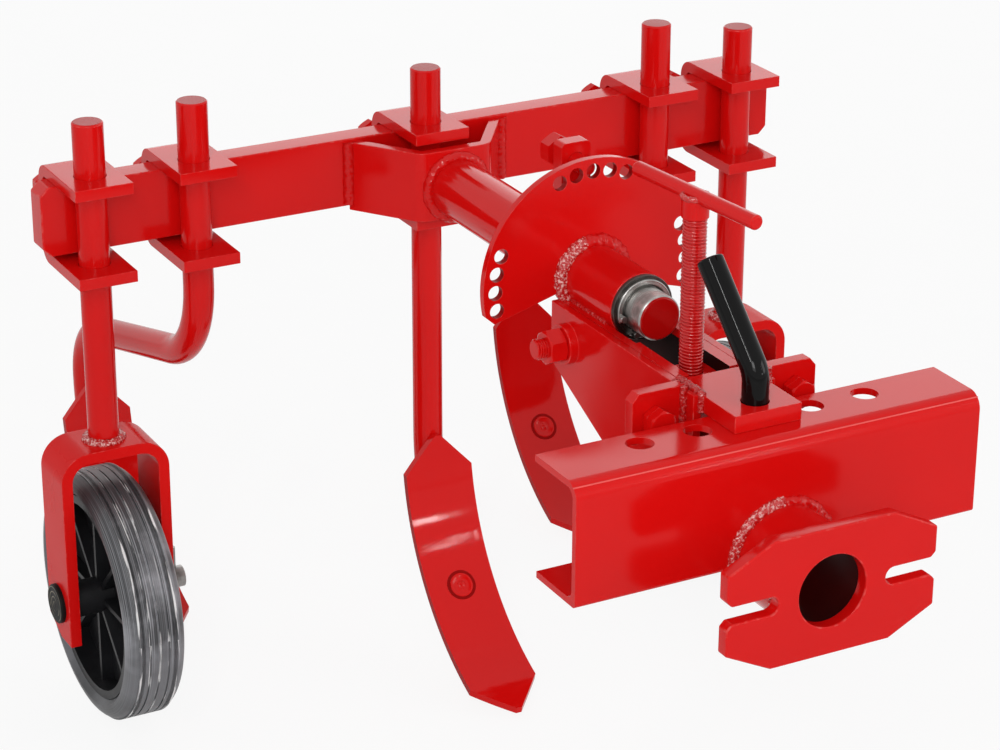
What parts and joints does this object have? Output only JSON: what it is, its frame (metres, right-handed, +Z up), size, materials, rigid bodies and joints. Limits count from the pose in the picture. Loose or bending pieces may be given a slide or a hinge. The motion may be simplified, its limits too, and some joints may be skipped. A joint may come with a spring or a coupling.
{
  "type": "tiller ripper",
  "caption": "Towed ripper for a two-wheel tractor: flanged drawbar, swinging head with pitch screw and tilt sector, and a tool bar with clamped curved tines and depth wheels.",
  "frame": {"origin": "centre of the hitch flange's bore, on the flange's front face", "axes": "+Y rearwards along the line of travel from the flange to the tools, +X to the right when looking rearwards along +Y, +Z up"},
  "size_m": [0.6903, 0.8704, 0.5448],
  "materials": {
    "red_paint": "glossy",
    "black_paint": "glossy",
    "bare_steel": "turned",
    "tyre_rubber": "matte, scuffed",
    "black_plastic": "moulded"
  },
  "bodies": {
    "drawbar": {"flange_plate": "red_paint", "stub_tube": "red_paint", "drawbar_channel": "red_paint"},
    "pin": {"hitch_pin": "black_paint"},
    "head": {"head_cheek_left": "red_paint", "head_cheek_right": "red_paint", "upper_tongue": "red_paint", "lower_tongue": "red_paint", "stop_ears": "red_paint", "stop_bolts": "red_paint", "stop_lock_nuts": "red_paint", "screw_seat": "red_paint", "pivot_bolt": "red_paint", "pivot_nut": "red_paint"},
    "carrier": {"pivot_housing": "red_paint", "sector_plate": "red_paint", "carrier_plate_left": "red_paint", "carrier_plate_right": "red_paint", "screw_nut_block": "red_paint"},
    "foot": {"screw_foot": "red_paint"},
    "screw": {"adjusting_screw": "red_paint", "t_bar": "red_paint"},
    "tool_frame": {"swivel_shaft": "bare_steel", "thrust_washer": "bare_steel", "retaining_ring": "bare_steel", "rear_tube": "red_paint", "v_bracket": "red_paint", "tool_bar": "red_paint", "index_guide": "red_paint"},
    "plunger": {"index_plunger": "red_paint"},
    "left_wheel_slider": {"left_wheel_clamp": "red_paint", "left_wheel_clamp_bolt": "red_paint"},
    "left_tine_slider": {"left_tine_clamp": "red_paint", "left_tine_clamp_bolt": "red_paint"},
    "centre_tine_slider": {"centre_tine_clamp": "red_paint", "centre_tine_clamp_bolt": "red_paint"},
    "right_tine_slider": {"right_tine_clamp": "red_paint", "right_tine_clamp_bolt": "red_paint"},
    "right_wheel_slider": {"right_wheel_clamp": "red_paint", "right_wheel_clamp_bolt": "red_paint"},
    "left_tine_unit": {"left_tine_stem": "red_paint", "left_tine_blade": "red_paint", "left_tine_blade_bolt": "red_paint"},
    "centre_tine_unit": {"centre_tine_stem": "red_paint", "centre_tine_blade": "red_paint", "centre_tine_blade_bolt": "red_paint"},
    "right_tine_unit": {"right_tine_stem": "red_paint", "right_tine_blade": "red_paint", "right_tine_blade_bolt": "red_paint"},
    "left_wheel_leg": {"left_wheel_stem": "red_paint", "left_wheel_fork": "red_paint", "left_wheel_axle": "bare_steel"},
    "left_wheel_roller": {"left_wheel_tyre": "tyre_rubber", "left_wheel_rim": "black_plastic"},
    "right_wheel_leg": {"right_wheel_stem": "red_paint", "right_wheel_fork": "red_paint", "right_wheel_axle": "bare_steel"},
    "right_wheel_roller": {"right_wheel_tyre": "tyre_rubber", "right_wheel_rim": "black_plastic"}
  },
  "joints": [
    {"name": "hitch_yaw", "type": "hinge", "parent": "drawbar", "child": "head", "pos_m": [0, 0.105, 0.1002], "axis": [0, 0, 1], "range_deg": [-6, 6]},
    {"name": "pin_turn", "type": "hinge", "parent": "drawbar", "child": "pin", "pos_m": [0, 0.105, 0.1002], "axis": [0, 0, 1], "continuous": true},
    {"name": "pitch", "type": "hinge", "parent": "head", "child": "carrier", "pos_m": [0, 0.308, 0.0752], "axis": [-1, 0, 0], "range_deg": [-4.85, 4.85]},
    {"name": "screw_feed", "type": "slide", "parent": "carrier", "child": "foot", "axis": [0, 0, -1], "range_m": [-0.01, 0.01]},
    {"name": "screw_turn", "type": "hinge", "parent": "foot", "child": "screw", "pos_m": [0, 0.19, 0.0415], "axis": [0, 0, -1], "range_deg": [-1440, 1440]},
    {"name": "bar_tilt", "type": "hinge", "parent": "carrier", "child": "tool_frame", "pos_m": [0, 0.3395, 0.1152], "axis": [0, 1, 0], "range_deg": [-100.45, 100.45]},
    {"name": "index_pull", "type": "slide", "parent": "tool_frame", "child": "plunger", "axis": [0, 1, 0], "range_m": [-0.0058, 0.005]},
    {"name": "left_wheel_shift", "type": "slide", "parent": "tool_frame", "child": "left_wheel_slider", "axis": [1, 0, 0], "range_m": [-0.012, 0.008]},
    {"name": "left_wheel_height", "type": "slide", "parent": "left_wheel_slider", "child": "left_wheel_leg", "axis": [0, 0, 1], "range_m": [-0.04, 0.06]},
    {"name": "left_tine_shift", "type": "slide", "parent": "tool_frame", "child": "left_tine_slider", "axis": [1, 0, 0], "range_m": [-0.012, 0.06]},
    {"name": "left_tine_height", "type": "slide", "parent": "left_tine_slider", "child": "left_tine_unit", "axis": [0, 0, 1], "range_m": [-0.04, 0.018]},
    {"name": "centre_tine_shift", "type": "slide", "parent": "tool_frame", "child": "centre_tine_slider", "axis": [1, 0, 0], "range_m": [-0.02, 0.02]},
    {"name": "centre_tine_height", "type": "slide", "parent": "centre_tine_slider", "child": "centre_tine_unit", "axis": [0, 0, 1], "range_m": [-0.04, 0.1]},
    {"name": "right_tine_shift", "type": "slide", "parent": "tool_frame", "child": "right_tine_slider", "axis": [1, 0, 0], "range_m": [-0.06, 0.012]},
    {"name": "right_tine_height", "type": "slide", "parent": "right_tine_slider", "child": "right_tine_unit", "axis": [0, 0, 1], "range_m": [-0.04, 0.018]},
    {"name": "right_wheel_shift", "type": "slide", "parent": "tool_frame", "child": "right_wheel_slider", "axis": [1, 0, 0], "range_m": [-0.008, 0.012]},
    {"name": "right_wheel_height", "type": "slide", "parent": "right_wheel_slider", "child": "right_wheel_leg", "axis": [0, 0, 1], "range_m": [-0.035, 0.06]},
    {"name": "left_wheel_spin", "type": "hinge", "parent": "left_wheel_leg", "child": "left_wheel_roller", "pos_m": [-0.297, 0.5993, -0.2014], "axis": [1, 0, 0], "continuous": true},
    {"name": "right_wheel_spin", "type": "hinge", "parent": "right_wheel_leg", "child": "right_wheel_roller", "pos_m": [0.2933, 0.5993, -0.2059], "axis": [1, 0, 0], "continuous": true}
  ],
  "couplings": [
    {"joint": "screw_feed", "follows": "pitch", "m_per_rad": 0.118},
    {"joint": "screw_turn", "follows": "pitch", "ratio": 296.57}
  ]
}
